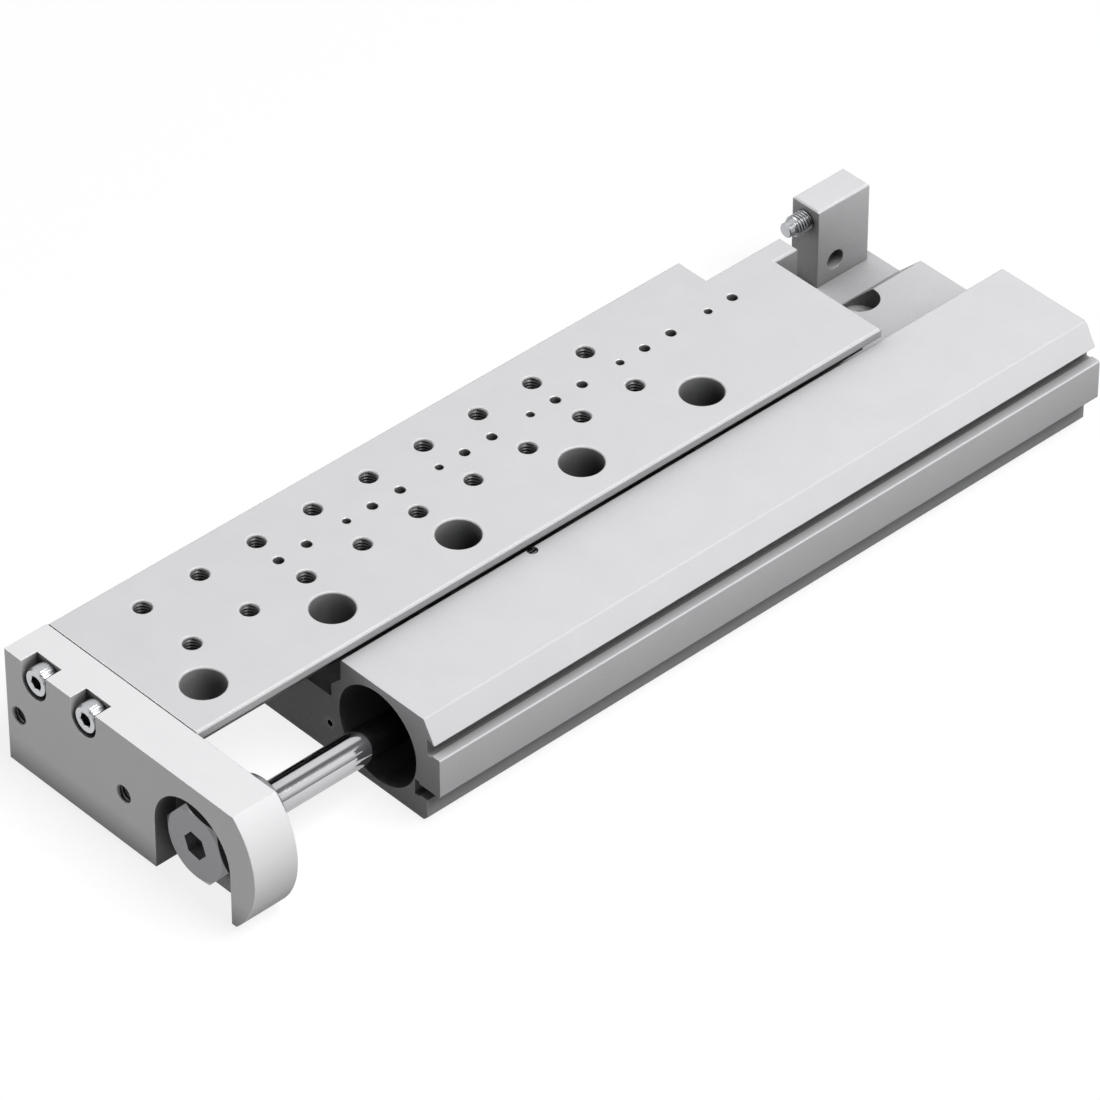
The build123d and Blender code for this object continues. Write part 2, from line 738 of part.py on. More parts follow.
def circlip(outer_d, x0):
    """Internal retaining ring with its gap at the bottom."""
    clip = ring(outer_d - 2 * circlip_width, outer_d, x0, x0 + circlip_thickness)
    reach = outer_d
    half = reach * circlip_gap_slope
    wedge = Polyline((0, 0), (reach, -half), (reach, half), close=True)
    cut = extrude(Plane.XY * make_face(wedge), circlip_thickness)
    return clip - Pos(x0, axis_y, axis_height) * Rot(0, 90, 0) * cut


def rear_cap():
    """Plug that closes the cylinder's rear end, bored for the cushioning sleeve."""
    cap = rod_x(bore_d - 2 * running_gap, rear_cap_end_x, rear_cap_face_x)
    cap -= rod_x(cushion_d + 2 * cushion_gap, rear_cap_face_x - cushion_depth, rear_cap_face_x)
    return cap - o_ring_cut(o_ring_x(rear_cap_end_x, rear_cap_length / 2))


def duct_plug():
    """Plug in the front end of the long air duct."""
    plug = rod_x(duct_d - 2 * running_gap, front_x - duct_plug_length, front_x, duct_y, duct_z)
    socket = Pos(front_x - duct_d / 2, duct_y, duct_z) * Rot(0, 90, 0) * hexagon(duct_d / 2, duct_d / 2)
    return plug - socket


def cushion_screw():
    """Small slotted screw beside the slide that sets the end cushioning."""
    x, y, bottom = cushion_screw_place()
    top = barrel_height - head_recess
    screw = rod_z(cushion_screw_d, bottom, top, x, y)
    blade = cushion_screw_d / 5
    return screw - block(x - cushion_screw_d, x + cushion_screw_d, y - blade / 2, y + blade / 2, top - 2 * blade, top)


def stop_block():
    """Block at the rear left that carries the adjustable stop screw."""
    x0 = block_front_x - block_length
    body = block(x0, block_front_x, left_y, left_y + block_width, floor_height, total_height)
    body = chamfer(body.faces().sort_by(Axis.Z)[-1].edges(), block_chamfer)
    body -= rod_x(stop_screw_d + 2 * thread_clearance, x0, block_front_x, block_centre_y, stop_z)
    cross_z = floor_height + cross_hole_rise
    body -= rod_y(cross_hole_d, left_y, left_y + block_width, block_front_x - cross_hole_inset, cross_z)
    depth = block_seat_z() + block_screw_length - floor_height + tip_clearance
    shaft = m4["d"] + 2 * thread_clearance
    body -= rod_z(shaft, floor_height, floor_height + depth, block_screw_x, block_screw_y)
    body -= rod_z(block_pin_d, floor_height, floor_height + block_pin_top, block_pin_x, block_centre_y)
    return body


def stop_block_screw():
    """Cap screw from the mounting face into the stop block."""
    screw = Rot(180, 0, 0) * cap_screw(m4, block_screw_length)
    return Pos(block_screw_x, block_screw_y, block_seat_z()) * screw


def stop_block_pin():
    """Dowel that keeps the stop block square."""
    top = floor_height + block_pin_top
    return rod_z(block_pin_d, top - block_pin_length, top, block_pin_x, block_centre_y)


def stop_screw():
    """Headless end stop screw with a dog point, turned from its rear end."""
    x0 = stop_tip_x - stop_screw_length
    shoulder_x = stop_tip_x - stop_dog_length
    screw = rod_x(stop_screw_d, x0, shoulder_x, block_centre_y, stop_z)
    screw = chamfer(screw.edges().filter_by(GeomType.CIRCLE), edge_chamfer)
    screw += rod_x(stop_dog_d, shoulder_x - edge_chamfer, stop_tip_x, block_centre_y, stop_z)
    return screw - Pos(x0, block_centre_y, stop_z) * Rot(0, 90, 0) * hexagon(stop_key, stop_key_depth)


nodes = {
    "housing": housing(),
    "left_raceway": raceway(-1),
    "right_raceway": raceway(1),
    "raceway_screws": raceway_screws(),
    "stop_block": stop_block(),
    "stop_block_screw": stop_block_screw(),
    "stop_block_pin": stop_block_pin(),
    "front_cap": front_cap(),
    "rod_bush": rod_bush(),
    "rod_wiper": rod_wiper(),
    "front_cap_ring": o_ring(o_ring_x(cap_face_x, front_cap_length)),
    "front_bumper": ring(bumper_inner_d, bumper_outer_d, cap_face_x - bumper_thickness, cap_face_x),
    "front_circlip": circlip(recess_d + 2 * circlip_depth, cap_shoulder_x + cap_flange),
    "rear_cap": rear_cap(),
    "rear_cap_ring": o_ring(o_ring_x(rear_cap_end_x, rear_cap_length / 2)),
    "rear_bumper": ring(bumper_inner_d, bumper_outer_d, rear_cap_face_x, rear_cap_face_x + bumper_thickness),
    "rear_circlip": circlip(bore_d + 2 * circlip_depth, rear_cap_end_x - circlip_thickness),
    "duct_plug": duct_plug(),
    "cushion_screw": cushion_screw(),
    "slide_plate": slide_plate(),
    "yoke_plate": yoke_plate(),
    "yoke_screws": yoke_screws(),
    "guide_rail": guide_rail(),
    "rail_screws": rail_screws(),
    "rail_pins": rail_pins(),
    "piston_rod": piston_rod(),
    "rod_end_screw": rod_end_screw(),
    "rod_collar": rod_collar(),
    "piston": piston(),
    "piston_seals": [piston_ring(n, bore_d - 2 * running_gap) for n in (0, 1)],
    "piston_magnet": piston_ring(2, bore_d - 6 * piston_land_gap),
    "piston_guide_ring": piston_ring(3, bore_d - 2 * running_gap),
    "piston_screw": piston_screw(),
    "cage": cage(),
    "guide_balls": guide_balls(),
    "stop_screw": stop_screw(),
}

for name, shape in nodes.items():
    solid = Compound(children=shape) if isinstance(shape, list) else shape
    export_step(solid, f"parts/{name}.step")
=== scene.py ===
import math

import bmesh
import bpy
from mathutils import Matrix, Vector


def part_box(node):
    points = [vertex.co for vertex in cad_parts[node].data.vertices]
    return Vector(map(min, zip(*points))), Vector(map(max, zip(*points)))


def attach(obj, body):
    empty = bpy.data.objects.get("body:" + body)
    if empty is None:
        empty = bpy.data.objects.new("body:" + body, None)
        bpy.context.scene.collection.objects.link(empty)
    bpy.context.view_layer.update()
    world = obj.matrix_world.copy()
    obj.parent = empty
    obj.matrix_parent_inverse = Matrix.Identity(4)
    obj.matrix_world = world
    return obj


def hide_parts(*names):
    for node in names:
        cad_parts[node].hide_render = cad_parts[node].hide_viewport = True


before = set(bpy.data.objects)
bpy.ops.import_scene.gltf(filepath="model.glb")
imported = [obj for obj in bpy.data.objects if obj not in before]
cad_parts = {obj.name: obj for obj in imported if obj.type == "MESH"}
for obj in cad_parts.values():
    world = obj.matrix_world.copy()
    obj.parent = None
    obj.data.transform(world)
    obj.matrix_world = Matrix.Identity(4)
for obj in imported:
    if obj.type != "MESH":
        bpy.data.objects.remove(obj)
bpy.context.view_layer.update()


# Camera: a long lens well above the table, from the yoke's end and the cylinder's side, as a
# catalogue picture is taken. It looks at a point over the housing, a little before its middle.
LENS_MM, SENSOR_MM = 249.36, 36.0
CAMERA_AZIMUTH, CAMERA_HEIGHT = math.radians(47.1), math.radians(39.68)
CAMERA_DISTANCE = 1.62272
looked_at = Vector((0.04464, 0.01676, 0.0310))
towards_camera = Vector((
    math.cos(CAMERA_HEIGHT) * math.cos(CAMERA_AZIMUTH),
    math.cos(CAMERA_HEIGHT) * math.sin(CAMERA_AZIMUTH),
    math.sin(CAMERA_HEIGHT),
))
camera_data = bpy.data.cameras.new("camera")
camera_data.lens, camera_data.sensor_width = LENS_MM, SENSOR_MM
camera_data.clip_start, camera_data.clip_end = 0.05, 20.0
camera = bpy.data.objects.new("camera", camera_data)
camera.location = looked_at + towards_camera * CAMERA_DISTANCE
camera.rotation_euler = (-towards_camera).to_track_quat("-Z", "Y").to_euler()
bpy.context.scene.collection.objects.link(camera)
bpy.context.scene.camera = camera
bpy.context.scene.view_settings.view_transform = "Standard"


# Housing: an aluminium extrusion, milled for the guide and the rear end, then etched and clear
# anodised. Anodising leaves a fine satin skin: pale grey, soft reflections and faint cloudiness.
# The edges that the cutter broke are barer and carry a painted highlight, and the colour carries
# painted shade where the housing lies deep between other pieces.
mm = 0.001


def linear(hex_colour):
    """An sRGB hex colour as the linear RGBA that a shader takes."""
    parts = [int(hex_colour[i:i + 2], 16) / 255 for i in (1, 3, 5)]
    return [c / 12.92 if c <= 0.04045 else ((c + 0.055) / 1.055) ** 2.4 for c in parts] + [1.0]


def new_material(name):
    """An empty node material with its surface shader."""
    material = bpy.data.materials.new(name)
    material.use_nodes = True
    return material, material.node_tree, material.node_tree.nodes["Principled BSDF"]


def add(tree, kind, links=None, **settings):
    """Adds one node. Settings go to its properties or sockets, links join its sockets to others."""
    node = tree.nodes.new(kind)
    for name, value in settings.items():
        if hasattr(node, name):
            setattr(node, name, value)
        else:
            node.inputs[name.replace("_", " ")].default_value = value
    for socket, source in (links or {}).items():
        tree.links.new(source, node.inputs[socket])
    return node


def paint(material, *names):
    """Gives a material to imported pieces."""
    for name in names:
        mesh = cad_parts[name].data
        mesh.materials.clear()
        mesh.materials.append(material)


def satin_aluminium(name, light, dark, rough, grain_mm, edge_mm, metal=0.0, shade=0.15, reach_mm=40):
    """Aluminium with an etched, anodised skin. The eye gets faint clouds of tone a few millimetres
    wide and an etched grain. Edges rounded by edge_mm turn barer and take a painted highlight, their
    colour mixed towards white, and the colour takes painted shade, mixed towards black, where other
    pieces lie nearer than reach_mm."""
    cloud_mm, grain_height = 9, 0.02 * mm
    material, tree, skin = new_material(name)
    place = add(tree, "ShaderNodeTexCoord").outputs["Object"]
    clouds = add(tree, "ShaderNodeTexNoise", {"Vector": place}, Scale=1 / (cloud_mm * mm), Detail=3.0)
    grain = add(tree, "ShaderNodeTexNoise", {"Vector": place}, Scale=1 / (grain_mm * mm), Detail=2.0)
    tone = add(tree, "ShaderNodeMix", {"Factor": clouds.outputs["Fac"]}, data_type="RGBA",
               A=linear(dark), B=linear(light))
    rounding = add(tree, "ShaderNodeBevel", samples=4, Radius=edge_mm * mm)
    flat = add(tree, "ShaderNodeNewGeometry").outputs["True Normal"]
    # 1 on a flat face, and less near an edge, where the rounded normal turns away from the face.
    kept_flat = add(tree, "ShaderNodeVectorMath", {0: rounding.outputs[0], 1: flat},
                    operation="DOT_PRODUCT").outputs["Value"]
    # Painted highlight: near an edge the colour is mixed towards white.
    broken = add(tree, "ShaderNodeMapRange", {"Value": kept_flat}, From_Min=0.99, From_Max=0.9)
    edge = add(tree, "ShaderNodeMix",
               {"Factor": broken.outputs["Result"], "A": tone.outputs["Result"]},
               data_type="RGBA", B=linear("#FFFFFF"))
    # Painted shade: the colour is mixed towards black where other surfaces lie near.
    open_sky = add(tree, "ShaderNodeAmbientOcclusion", samples=6, Distance=reach_mm * mm)
    depth = add(tree, "ShaderNodeMapRange", {"Value": open_sky.outputs["AO"]},
                From_Min=shade, To_Min=0.1)
    painted_shade = add(tree, "ShaderNodeMix",
                 {"Factor": depth.outputs["Result"], "B": edge.outputs["Result"]},
                 data_type="RGBA", A=linear("#000000"))
    bump = add(tree, "ShaderNodeBump",
               {"Height": grain.outputs["Fac"], "Normal": rounding.outputs[0]},
               Strength=0.25, Distance=grain_height)
    gloss = add(tree, "ShaderNodeMapRange", {"Value": grain.outputs["Fac"]},
                To_Min=rough - 0.05, To_Max=rough + 0.05)
    tree.links.new(painted_shade.outputs["Result"], skin.inputs["Base Color"])
    tree.links.new(bump.outputs[0], skin.inputs["Normal"])
    tree.links.new(gloss.outputs["Result"], skin.inputs["Roughness"])
    bare = add(tree, "ShaderNodeMapRange", {"Value": kept_flat},
               From_Min=0.99, From_Max=0.8, To_Min=metal, To_Max=0.6)
    tree.links.new(bare.outputs["Result"], skin.inputs["Metallic"])
    skin.inputs["Specular IOR Level"].default_value = 0.25
    return material


# Clear anodised after an etch: a pale grey, with a grain of 0.25 mm that keeps reflections dull.
anodised = satin_aluminium("clear_anodised_etched_aluminium", "#EAEAEC", "#E2E2E4",
                           rough=0.46, grain_mm=0.25, edge_mm=0.15)
paint(anodised, "housing")


# Air ports and mounting threads: M5 threads cut in the bare housing, two ports in its rear face
# and four holes in its mounting face. A cut thread shows as a fine bright spiral in a dark hole.
THREAD_PITCH, CORE_RADIUS, THREAD_RISE = 0.8 * mm, 2.1 * mm, 0.22 * mm
THREAD_ROOTING, STEPS_PER_TURN = 0.02 * mm, 24


def thread_ridge(shape, start, axis, foot, crest, length):
    """Adds a helical thread on a round wall of radius foot. Its crest lies at radius crest, and its
    widths at both are given as parts of the pitch."""
    half_foot, half_crest = 0.42, 0.1
    side = axis.orthogonal().normalized()
    up = axis.cross(side)
    section = ((foot, -half_foot), (crest, -half_crest), (crest, half_crest), (foot, half_foot))
    last = None
    for step in range(round(length / THREAD_PITCH * STEPS_PER_TURN) + 1):
        turn = math.tau * step / STEPS_PER_TURN
        out = side * math.cos(turn) + up * math.sin(turn)
        middle = start + axis * (THREAD_PITCH * step / STEPS_PER_TURN)
        ring = [shape.verts.new(middle + out * radius + axis * (THREAD_PITCH * shift))
                for radius, shift in section]
        if last:
            for a in range(4):
                b = (a + 1) % 4
                shape.faces.new((last[a], last[b], ring[b], ring[a]))
        else:
            shape.faces.new(ring)
        last = ring
    shape.faces.new(last)


def tapped_threads(shape, mouths, axis, length):
    """M5 threads in holes of one depth, from just inside each mouth along the axis. The ridge is
    rooted a little inside the hole's wall."""
    margin = 0.6 * THREAD_PITCH
    for mouth in mouths:
        thread_ridge(shape, mouth + axis * margin, axis, CORE_RADIUS + THREAD_ROOTING,
                     CORE_RADIUS - THREAD_RISE, length - 2 * margin)


def finished(name, shape, material, body, crease=35.0):
    """Turns a mesh under construction into a piece that rides on a body."""
    bmesh.ops.recalc_face_normals(shape, faces=shape.faces[:])
    for edge in shape.edges:
        edge.smooth = edge.calc_face_angle(0.0) < math.radians(crease)
    for face in shape.faces:
        face.smooth = True
    mesh = bpy.data.meshes.new(name)
    shape.to_mesh(mesh)
    shape.free()
    mesh.materials.append(material)
    piece = bpy.data.objects.new(name, mesh)
    bpy.context.scene.collection.objects.link(piece)
    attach(piece, body)
    return piece


# Freshly cut metal: darker and half bare, so that the ridges glint and the hole stays dark.
cut_aluminium = satin_aluminium("thread_cut_aluminium", "#8C8C8E", "#7C7C7E",
                                rough=0.3, grain_mm=0.2, edge_mm=0.05, metal=0.4, shade=0.1)
PORT_DEPTH, BASE_THREAD_DEPTH = 8 * mm, 7.5 * mm
PORT_PLACES = ((6.8 * mm, 8 * mm), (37.2 * mm, 14.25 * mm))
BASE_THREAD_X, BASE_THREAD_YS = 75 * mm, (-34 * mm, 0)
rear_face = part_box("housing")[0][0]
port_mouths = [Vector((rear_face, y, z)) for y, z in PORT_PLACES]
base_mouths = [Vector((x, y, 0)) for x in (-BASE_THREAD_X, BASE_THREAD_X) for y in BASE_THREAD_YS]
shape = bmesh.new()
tapped_threads(shape, port_mouths, Vector((1, 0, 0)), PORT_DEPTH)
tapped_threads(shape, base_mouths, Vector((0, 0, 1)), BASE_THREAD_DEPTH)
finished("housing_threads", shape, cut_aluminium, "housing")


# Cylinder ends: turned aluminium caps, black anodised, held by spring steel retaining rings. The
# front cap lies deep in its recess, so it reads as a dark ring round the rod.
# Black anodised over turning: a deep grey with a soft metallic sheen.
black_anodised = satin_aluminium("turned_black_anodised_aluminium", "#3A3A3C", "#303032",
                                 rough=0.38, grain_mm=0.2, edge_mm=0.1, metal=0.3)
# The caps' colour also takes painted shade, darkest for the front cap deep in its recess.
paint(black_anodised, "front_cap", "rear_cap")


def bare_metal(name, colour, low, high, grain_mm, shade_mm=12, edge_mm=0.08, metal=1.0):
    """A bare or plated metal. Its marks, grain_mm wide, run from the low to the high roughness, its
    edges are rounded by edge_mm, and its colour takes painted shade where other pieces are nearer
    than shade_mm."""
    material, tree, skin = new_material(name)
    place = add(tree, "ShaderNodeTexCoord").outputs["Object"]
    marks = add(tree, "ShaderNodeTexNoise", {"Vector": place}, Scale=1 / (grain_mm * mm), Detail=2.0)
    gloss = add(tree, "ShaderNodeMapRange", {"Value": marks.outputs["Fac"]}, To_Min=low, To_Max=high)
    # Painted shade: the colour darkens where other pieces are near.
    painted_shade = add(tree, "ShaderNodeAmbientOcclusion",
                 samples=6, Distance=shade_mm * mm, Color=linear(colour))
    rounding = add(tree, "ShaderNodeBevel", samples=4, Radius=edge_mm * mm)
    tree.links.new(gloss.outputs["Result"], skin.inputs["Roughness"])
    tree.links.new(painted_shade.outputs["Color"], skin.inputs["Base Color"])
    tree.links.new(rounding.outputs[0], skin.inputs["Normal"])
    skin.inputs["Metallic"].default_value = metal
    return material


# Black oxide on spring steel: dark, with a dull shine.
black_oxide = bare_metal("black_oxide_spring_steel", "#4A4A4C", low=0.3, high=0.42, grain_mm=0.8)
paint(black_oxide, "front_circlip", "rear_circlip", "duct_plug")


# Bush, wiper, rings and bumpers inside the cylinder: rolled bronze, and black nitrile rubber that
# is moulded dull, with a fine bloom.
bronze = bare_metal("rolled_bronze", "#AC8A55", low=0.3, high=0.4, grain_mm=3)
paint(bronze, "rod_bush")

rubber, tree, skin = new_material("moulded_nitrile_rubber")
BLOOM_MM = 1.5
place = add(tree, "ShaderNodeTexCoord").outputs["Object"]
bloom = add(tree, "ShaderNodeTexNoise", {"Vector": place}, Scale=1 / (BLOOM_MM * mm), Detail=3.0)
tone = add(tree, "ShaderNodeMix", {"Factor": bloom.outputs["Fac"]}, data_type="RGBA",
           A=linear("#1A1A1B"), B=linear("#262627"))
tree.links.new(tone.outputs["Result"], skin.inputs["Base Color"])
skin.inputs["Roughness"].default_value = 0.6
paint(rubber, "rod_wiper", "front_cap_ring", "rear_cap_ring", "front_bumper", "rear_bumper")


# Guide strips: two raceways of hardened steel, ground all over, screwed to the housing from
# below. Grinding leaves fine lines along them, so they are darker and sharper than the plates.
ground_steel, tree, skin = new_material("hardened_ground_steel")
place = add(tree, "ShaderNodeTexCoord").outputs["Object"]
LINE_LENGTH, LINE_WIDTH, SHADE_REACH = 25 * mm, mm / 6, 20 * mm
stretch = add(tree, "ShaderNodeMapping", {"Vector": place},
              Scale=(1 / LINE_LENGTH, 1 / LINE_WIDTH, 1 / LINE_WIDTH))
lines = add(tree, "ShaderNodeTexNoise", {"Vector": stretch.outputs[0]}, Scale=1.0, Detail=2.0)
gloss = add(tree, "ShaderNodeMapRange", {"Value": lines.outputs["Fac"]}, To_Min=0.2, To_Max=0.4)
# Painted shade: the steel's colour darkens where other pieces are nearer than SHADE_REACH.
painted_shade = add(tree, "ShaderNodeAmbientOcclusion",
             samples=6, Distance=SHADE_REACH, Color=linear("#B4B5B8"))
tree.links.new(gloss.outputs["Result"], skin.inputs["Roughness"])
tree.links.new(painted_shade.outputs["Color"], skin.inputs["Base Color"])
skin.inputs["Metallic"].default_value = 1.0
paint(ground_steel, "left_raceway", "right_raceway")

# Zinc plating: a pale, slightly cold and uneven shine.
zinc_steel = bare_metal("zinc_plated_steel", "#C4C5C8", low=0.2, high=0.36, grain_mm=0.8)
paint(zinc_steel, "raceway_screws", "cushion_screw")


# Stop block: a milled aluminium block with broken edges, anodised like the housing, screwed and
# pinned to its rear left corner.
# Its edges are rounded wide, and so is the painted highlight that whitens them.
block_aluminium = satin_aluminium("milled_anodised_aluminium", "#F0F0F2", "#E6E6E8",
                                  rough=0.42, grain_mm=0.3, edge_mm=0.45)
paint(block_aluminium, "stop_block")
paint(zinc_steel, "stop_block_screw", "stop_block_pin")


# Stop screw: a headless M5 screw with a dog point, turned from its rear end through a key socket.
# Its rolled thread shows bright crests and dark roots.
def turned(shape, start, axis, rings, count=72, flute=0.0):
    """Adds a closed turned shape. Each ring is (distance along the axis, radius, form), and form is
    round, hexagon (radius to its flats) or knurled."""
    hexagon_face = math.pi / 3
    side = axis.orthogonal().normalized()
    up = axis.cross(side)
    last = None
    for distance, radius, form in rings:
        ring = []
        for n in range(count):
            turn = math.tau * n / count
            reach = radius
            if form == "hexagon":
                reach = radius / math.cos((turn + hexagon_face / 2) % hexagon_face - hexagon_face / 2)
            elif form == "knurled" and n % 4 in (2, 3):
                reach = radius - flute
            out = side * math.cos(turn) + up * math.sin(turn)
            ring.append(shape.verts.new(start + axis * distance + out * reach))
        if last:
            for a in range(count):
                b = (a + 1) % count
                shape.faces.new((last[a], last[b], ring[b], ring[a]))
        else:
            shape.faces.new(ring)
        last = ring
    shape.faces.new(last)


STOP_ROOT, STOP_CREST = 2.08 * mm, 2.5 * mm
STOP_KEY, STOP_KEY_DEPTH = 1.25 * mm, 3 * mm
DOG_RADIUS, DOG_LENGTH, DOG_SLOPE = 1.8 * mm, 1.5 * mm, 0.3 * mm
END_BREAK, REAR_BREAK = 0.2 * mm, 0.1 * mm
THREAD_START, THREAD_STOP = 0.5 * mm, 0.6 * mm
low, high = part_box("stop_screw")
stop_length = high[0] - low[0]
stop_start = Vector((low[0], (low[1] + high[1]) / 2, (low[2] + high[2]) / 2))
shape = bmesh.new()
turned(shape, stop_start, Vector((1, 0, 0)), [
    (STOP_KEY_DEPTH, STOP_KEY, "hexagon"), (0, STOP_KEY, "hexagon"),
    (0, STOP_ROOT - REAR_BREAK, "round"), (END_BREAK, STOP_ROOT, "round"),
    (stop_length - DOG_LENGTH - DOG_SLOPE, STOP_ROOT, "round"),
    (stop_length - DOG_LENGTH, DOG_RADIUS, "round"),
    (stop_length - END_BREAK, DOG_RADIUS, "round"),
    (stop_length, DOG_RADIUS - END_BREAK, "round"),
])
thread_ridge(shape, stop_start + Vector((THREAD_START, 0, 0)), Vector((1, 0, 0)),
             STOP_ROOT - THREAD_ROOTING, STOP_CREST,
             stop_length - DOG_LENGTH - THREAD_START - THREAD_STOP)
stop_screw = finished("threaded_stop_screw", shape, zinc_steel, "stop_screw")
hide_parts("stop_screw")


# Slide plate: aluminium plate, milled and drilled, then etched and clear anodised like the
# housing. Its eighteen M5 holes are tapped right through.
# The housing's skin with edges rounded wider, so that a painted highlight keeps a pale line along the
# thin lip.
broken_edge_plate_with_painted_highlight = satin_aluminium(
    "etched_anodised_plate_with_broken_edges", "#E8E8EA", "#E0E0E2",
    rough=0.46, grain_mm=0.25, edge_mm=0.6, shade=0.2)
paint(broken_edge_plate_with_painted_highlight, "slide_plate")
slide_low, slide_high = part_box("slide_plate")
THREAD_FROM_FRONT, THREAD_SPACING, GUIDE_LINE = 18 * mm, 16 * mm, -20 * mm
THREAD_PAIRS = 9
slide_mouths = [
    Vector((slide_high[0] - THREAD_FROM_FRONT - THREAD_SPACING * n,
            GUIDE_LINE + side * THREAD_SPACING / 2, slide_high[2]))
    for n in range(THREAD_PAIRS) for side in (-1, 1)]
shape = bmesh.new()
tapped_threads(shape, slide_mouths, Vector((0, 0, -1)), slide_high[2] - slide_low[2])
finished("slide_threads", shape, cut_aluminium, "slide")


# Guide rail: hardened and ground like the raceways, screwed and pinned into the slide plate.
paint(ground_steel, "guide_rail")
paint(zinc_steel, "rail_screws", "rail_pins")


# Yoke plate: a milled aluminium plate with a paler, finer etch than the slide's, so that its top
# stands out from the slide behind it. Two threaded holes go through it.
# Its painted shade is strong and reaches only 9 mm, so it darkens narrow places such as the
# counterbores and the pocket.
yoke_aluminium = satin_aluminium("fine_etched_anodised_aluminium", "#FAFAFB", "#F4F4F6",
                                 rough=0.4, grain_mm=0.2, edge_mm=0.2, shade=0.35, reach_mm=9)
paint(yoke_aluminium, "yoke_plate")
yoke_low, yoke_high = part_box("yoke_plate")
YOKE_THREAD_OFFSET, YOKE_THREAD_SPACING, YOKE_THREAD_HEIGHT = 3.7 * mm, 34 * mm, 14.6 * mm
yoke_mouths = [
    Vector((yoke_high[0], yoke_low[1] + YOKE_THREAD_OFFSET + n * YOKE_THREAD_SPACING,
            YOKE_THREAD_HEIGHT))
    for n in (0, 1)]
shape = bmesh.new()
tapped_threads(shape, yoke_mouths, Vector((-1, 0, 0)), yoke_high[0] - yoke_low[0])
finished("yoke_threads", shape, cut_aluminium, "slide")


# Yoke screws: two M4 socket head cap screws, cold formed, knurled round the head and zinc plated.
# They lie in open counterbores at the top of the yoke's front face.
HEAD_RADIUS, HEAD_HEIGHT, SHANK_RADIUS, SHANK_LENGTH = 3.5 * mm, 4 * mm, 2 * mm, 20 * mm
KEY_RADIUS, KEY_DEPTH, KEY_BREAK, KEY_SLOPE = 1.5 * mm, 2.2 * mm, 0.35 * mm, 0.2 * mm
SHANK_BREAK, SEAT_BREAK, CROWN_BREAK, CROWN_STEP = 0.3 * mm, 0.15 * mm, 0.5 * mm, 0.12 * mm
KNURL_START, KNURL_STOP, FLUTE_DEPTH = 0.3 * mm, 0.7 * mm, 0.1 * mm
low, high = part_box("yoke_screws")
head_level = high[2] - HEAD_RADIUS
shape = bmesh.new()
for y in (low[1] + HEAD_RADIUS, high[1] - HEAD_RADIUS):
    seat = Vector((high[0] - HEAD_HEIGHT, y, head_level))
    turned(shape, seat, Vector((1, 0, 0)), [
        (-SHANK_LENGTH, SHANK_RADIUS - SHANK_BREAK, "round"),
        (-SHANK_LENGTH + SHANK_BREAK, SHANK_RADIUS, "round"),
        (0, SHANK_RADIUS, "round"), (0, HEAD_RADIUS - SEAT_BREAK, "round"),
        (KNURL_START, HEAD_RADIUS, "knurled"), (HEAD_HEIGHT - KNURL_STOP, HEAD_RADIUS, "knurled"),
        (HEAD_HEIGHT - CROWN_BREAK, HEAD_RADIUS - CROWN_STEP, "round"),
        (HEAD_HEIGHT, HEAD_RADIUS - CROWN_BREAK, "round"),
        (HEAD_HEIGHT, KEY_RADIUS + KEY_BREAK, "round"),
        (HEAD_HEIGHT - KEY_SLOPE, KEY_RADIUS, "hexagon"),
        (HEAD_HEIGHT - KEY_DEPTH, KEY_RADIUS, "hexagon"),
    ], count=144, flute=FLUTE_DEPTH)
yoke_screws = finished("knurled_yoke_screws", shape, zinc_steel, "slide")
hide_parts("yoke_screws")


# Piston rod: steel, ground, hard chromed and polished, so it mirrors the room in long stripes. The
# collar behind the yoke and the flat hexagon screw before it are turned and nickel plated: a
# greyer, duller shine.
# The rod's colour takes painted shade from pieces and the table up to 30 mm away, darker on its lower
# side.
chrome = bare_metal("hard_chromed_polished_steel", "#DEDEE1", low=0.04, high=0.1, grain_mm=2,
                    shade_mm=30)
paint(chrome, "piston_rod")
# The nickel's painted shade reaches only 2 mm, into hollows such as the key socket.
nickel = bare_metal("turned_nickel_plated_steel", "#919194", low=0.24, high=0.36, grain_mm=0.5,
                    shade_mm=2, edge_mm=0.15, metal=0.5)
paint(nickel, "rod_end_screw", "rod_collar")


# Piston: turned aluminium on the rod's rear end, with two rubber seals, a bonded magnet ring and
# a white guide ring, and one cap screw that clamps it.
turned_aluminium = satin_aluminium("turned_aluminium", "#B8B8BA", "#A8A8AA",
                                   rough=0.35, grain_mm=0.2, edge_mm=0.1, metal=0.5)
paint(turned_aluminium, "piston")
paint(rubber, "piston_seals", "piston_magnet")
paint(zinc_steel, "piston_screw")

ptfe, tree, skin = new_material("moulded_ptfe")
SPECKLE_MM = 1.5
place = add(tree, "ShaderNodeTexCoord").outputs["Object"]
speckle = add(tree, "ShaderNodeTexNoise", {"Vector": place}, Scale=1 / (SPECKLE_MM * mm), Detail=3.0)
tone = add(tree, "ShaderNodeMix", {"Factor": speckle.outputs["Fac"]}, data_type="RGBA",
           A=linear("#D8D5CC"), B=linear("#E4E2DB"))
tree.links.new(tone.outputs["Result"], skin.inputs["Base Color"])
skin.inputs["Roughness"].default_value = 0.5
paint(ptfe, "piston_guide_ring")


# Ball cage: thin bronze sheet bent round the rail, and two rows of polished bearing steel balls.
paint(bronze, "cage")
bearing_steel = bare_metal("polished_bearing_steel", "#D8D8DA", low=0.05, high=0.1, grain_mm=2)
paint(bearing_steel, "guide_balls")


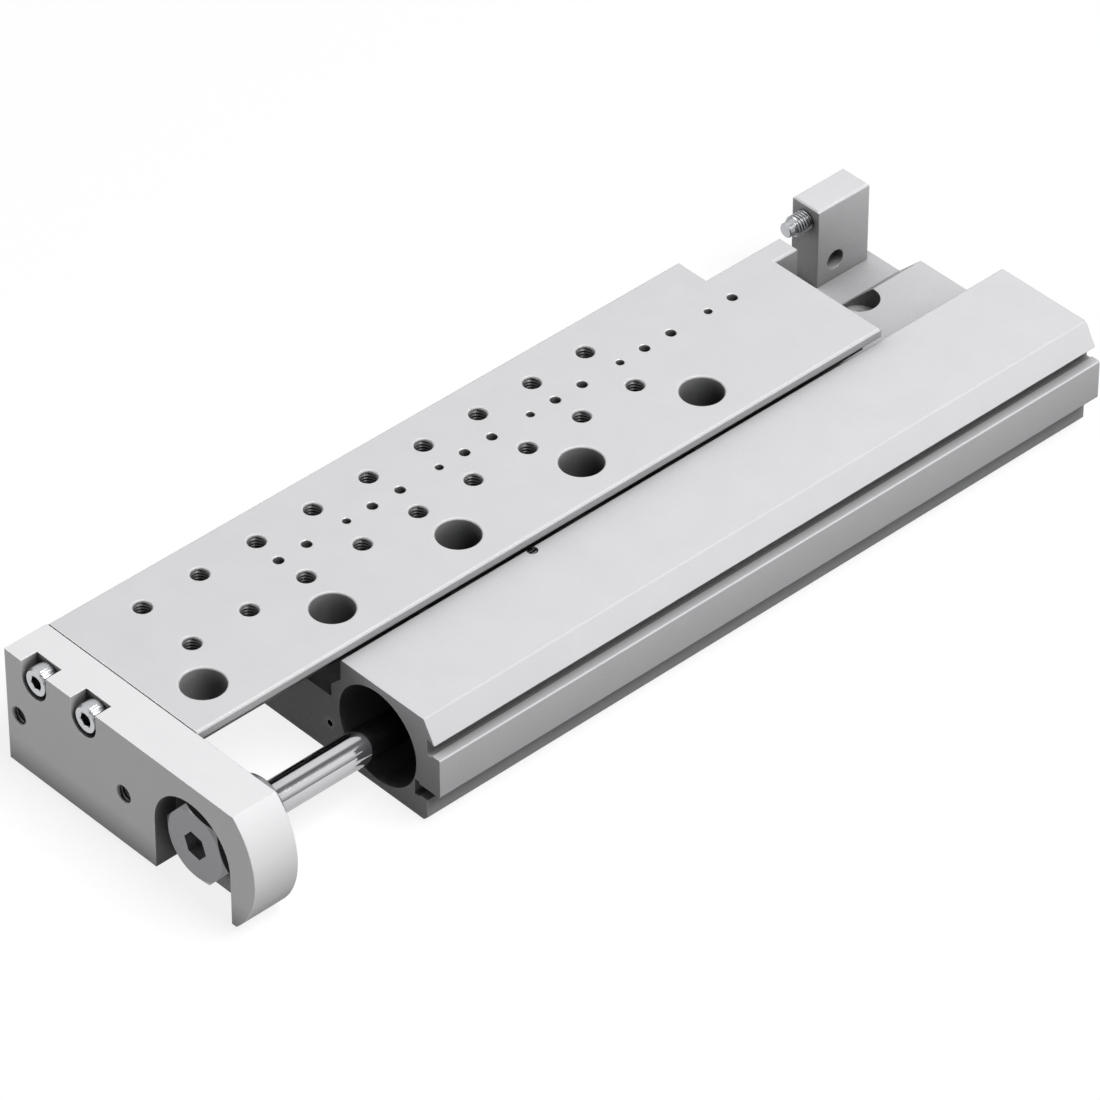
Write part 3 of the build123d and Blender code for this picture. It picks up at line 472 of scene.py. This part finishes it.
# Floor and light: a pale table that shows white and keeps the object's shadow, a large soft box
# high over the cylinder's side and a weak one low before the yoke. The room gives plain light and
# is mirrored as white walls over a grey horizon, with a grey piece of ceiling.
def shown_white(tree, plain, white=1.0):
    """A strength that is plain for the light it gives and white where it is seen or mirrored."""
    seen = add(tree, "ShaderNodeLightPath").outputs
    straight = add(tree, "ShaderNodeMath", {0: seen["Is Camera Ray"], 1: seen["Is Glossy Ray"]},
                   operation="MAXIMUM")
    through = add(tree, "ShaderNodeMath", {0: straight.outputs[0], 1: seen["Is Transmission Ray"]},
                  operation="MAXIMUM")
    return add(tree, "ShaderNodeMapRange", {"Value": through.outputs[0]}, To_Min=plain, To_Max=white)


HALF_FLOOR, FLOOR_GAP = 6.0, 0.2 * mm
corners = [(x * HALF_FLOOR, y * HALF_FLOOR, 0) for x, y in ((-1, -1), (1, -1), (1, 1), (-1, 1))]
floor_mesh = bpy.data.meshes.new("floor")
floor_mesh.from_pydata(corners, [], [(0, 1, 2, 3)])
floor = bpy.data.objects.new("floor", floor_mesh)
floor.location.z = -FLOOR_GAP
bpy.context.scene.collection.objects.link(floor)
# The table is grey to the light that falls on it and glows to the eye, so that it shows white,
# takes the object's shadow and throws little light back.
table, tree, skin = new_material("pale_table")
skin.inputs["Base Color"].default_value = (0.2, 0.2, 0.2, 1)
skin.inputs["Roughness"].default_value = 0.9
skin.inputs["Specular IOR Level"].default_value = 0.0
skin.inputs["Emission Color"].default_value = (1, 1, 1, 1)
glow = shown_white(tree, plain=0.0, white=0.84)
tree.links.new(glow.outputs["Result"], skin.inputs["Emission Strength"])
floor_mesh.materials.append(table)

world = bpy.data.worlds.new("sky")
bpy.context.scene.world = world
world.use_nodes = True
sky = world.node_tree.nodes["Background"]
sky.inputs["Color"].default_value = (1, 1, 1, 1)
tree = world.node_tree
strength = shown_white(tree, plain=0.1)
direction = add(tree, "ShaderNodeTexCoord").outputs["Generated"]
parts = add(tree, "ShaderNodeSeparateXYZ", {0: direction}).outputs
walls = add(tree, "ShaderNodeMapRange", {"Value": parts["Z"]},
            From_Max=0.42, To_Min=0.22, To_Max=1.0)
ceiling = add(tree, "ShaderNodeMapRange", {"Value": parts["Y"]},
              From_Min=-0.05, From_Max=0.15, To_Min=1.0, To_Max=0.2)
room = add(tree, "ShaderNodeMapRange",
           {"Value": parts["Z"], "To Min": walls.outputs["Result"],
            "To Max": ceiling.outputs["Result"]}, From_Min=0.64, From_Max=0.78)
tree.links.new(room.outputs["Result"], strength.inputs["To Max"])
tree.links.new(strength.outputs["Result"], sky.inputs["Strength"])


def soft_box(name, azimuth, height, distance, size, energy):
    """A square soft lamp that looks at the part."""
    data = bpy.data.lights.new(name, "AREA")
    data.shape, data.size, data.energy = "SQUARE", size, energy
    lamp = bpy.data.objects.new(name, data)
    azimuth, height = math.radians(azimuth), math.radians(height)
    side = distance * math.cos(height)
    lamp.location = (side * math.cos(azimuth), side * math.sin(azimuth), distance * math.sin(height))
    lamp.rotation_euler = (-lamp.location).to_track_quat("-Z", "Y").to_euler()
    bpy.context.scene.collection.objects.link(lamp)


soft_box("high_soft_box", azimuth=105, height=60, distance=1.6, size=0.8, energy=24.0)
soft_box("low_soft_box", azimuth=-25, height=10, distance=1.2, size=0.5, energy=2.1)
